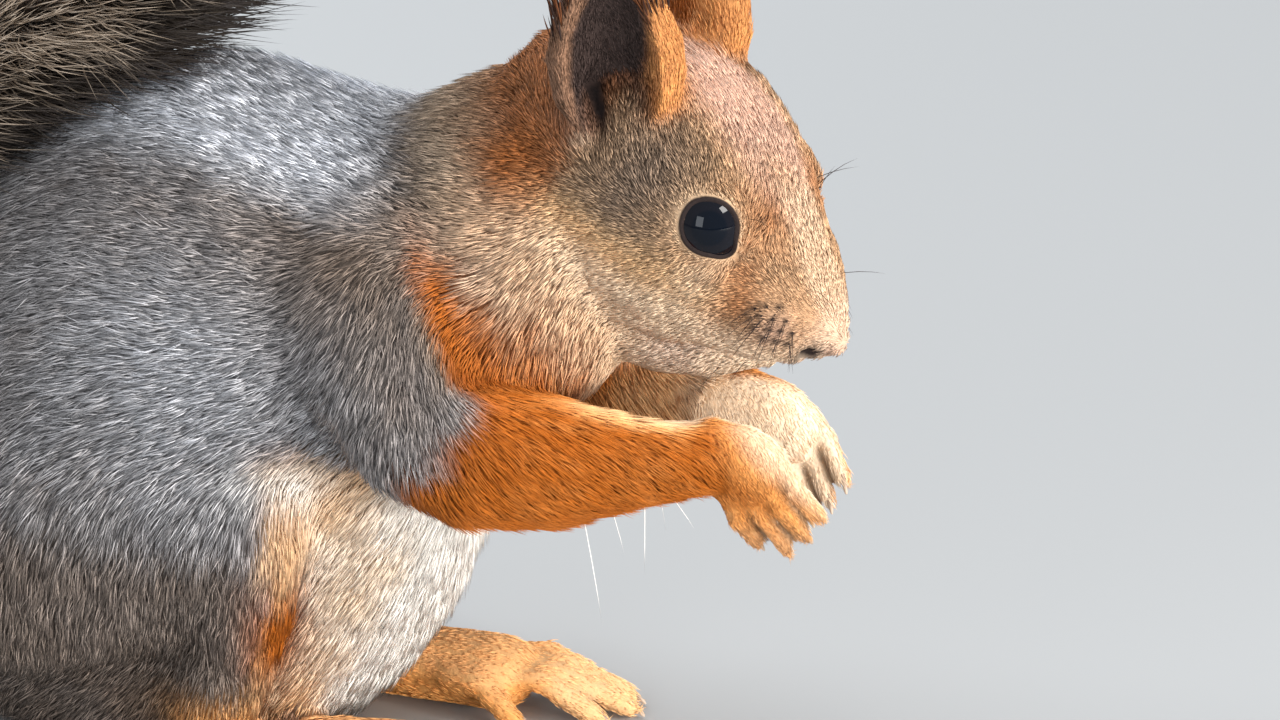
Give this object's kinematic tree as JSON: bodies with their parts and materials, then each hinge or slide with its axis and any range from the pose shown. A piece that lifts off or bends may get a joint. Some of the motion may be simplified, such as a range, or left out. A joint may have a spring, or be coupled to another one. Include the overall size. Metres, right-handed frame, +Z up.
{
  "type": "red squirrel",
  "caption": "Life-size red squirrel in grey winter coat, sitting up with its hands held together under its mouth and its tail over its back.",
  "frame": {"origin": "on the floor under the body, on the flat under the rump, on the body's midline", "axes": "+X the way the squirrel faces, +Y its left, +Z up"},
  "size_m": [0.1841, 0.0741, 0.1875],
  "materials": {
    "grey_coat": "short dense grey agouti fur",
    "orange_coat": "short dense orange fur",
    "face_coat": "very short brown, orange and cream fur",
    "pale_coat": "soft cream and white fur",
    "dark_coat": "long grey-brown hair with blackish ends",
    "eye": "wet, glossy, almost black",
    "claw": "smooth horn"
  },
  "bodies": {
    "root": {"eye_right": "eye", "eye_left": "eye", "head": "face_coat", "nose": "face_coat", "lower_jaw": "pale_coat", "ear_right": "orange_coat", "ear_left": "orange_coat", "ear_tuft_right": "dark_coat", "ear_tuft_left": "dark_coat", "rump": "grey_coat", "abdomen": "grey_coat", "chest": "grey_coat", "neck": "grey_coat", "upper_arm_right": "grey_coat", "upper_arm_left": "grey_coat", "forearm_right": "orange_coat", "forearm_left": "orange_coat", "hand_right": "orange_coat", "hand_left": "orange_coat", "finger_claw_right_1": "claw", "finger_claw_right_2": "claw", "finger_claw_right_3": "claw", "finger_claw_right_4": "claw", "finger_claw_left_1": "claw", "finger_claw_left_2": "claw", "finger_claw_left_3": "claw", "finger_claw_left_4": "claw", "thigh_right": "grey_coat", "thigh_left": "grey_coat", "shank_right": "orange_coat", "shank_left": "orange_coat", "foot_right": "orange_coat", "foot_left": "orange_coat", "toe_claw_right_1": "claw", "toe_claw_right_2": "claw", "toe_claw_right_3": "claw", "toe_claw_right_4": "claw", "toe_claw_right_5": "claw", "toe_claw_left_1": "claw", "toe_claw_left_2": "claw", "toe_claw_left_3": "claw", "toe_claw_left_4": "claw", "toe_claw_left_5": "claw", "tail_base": "dark_coat", "tail_middle": "dark_coat", "tail_tip": "dark_coat"}
  },
  "joints": []
}
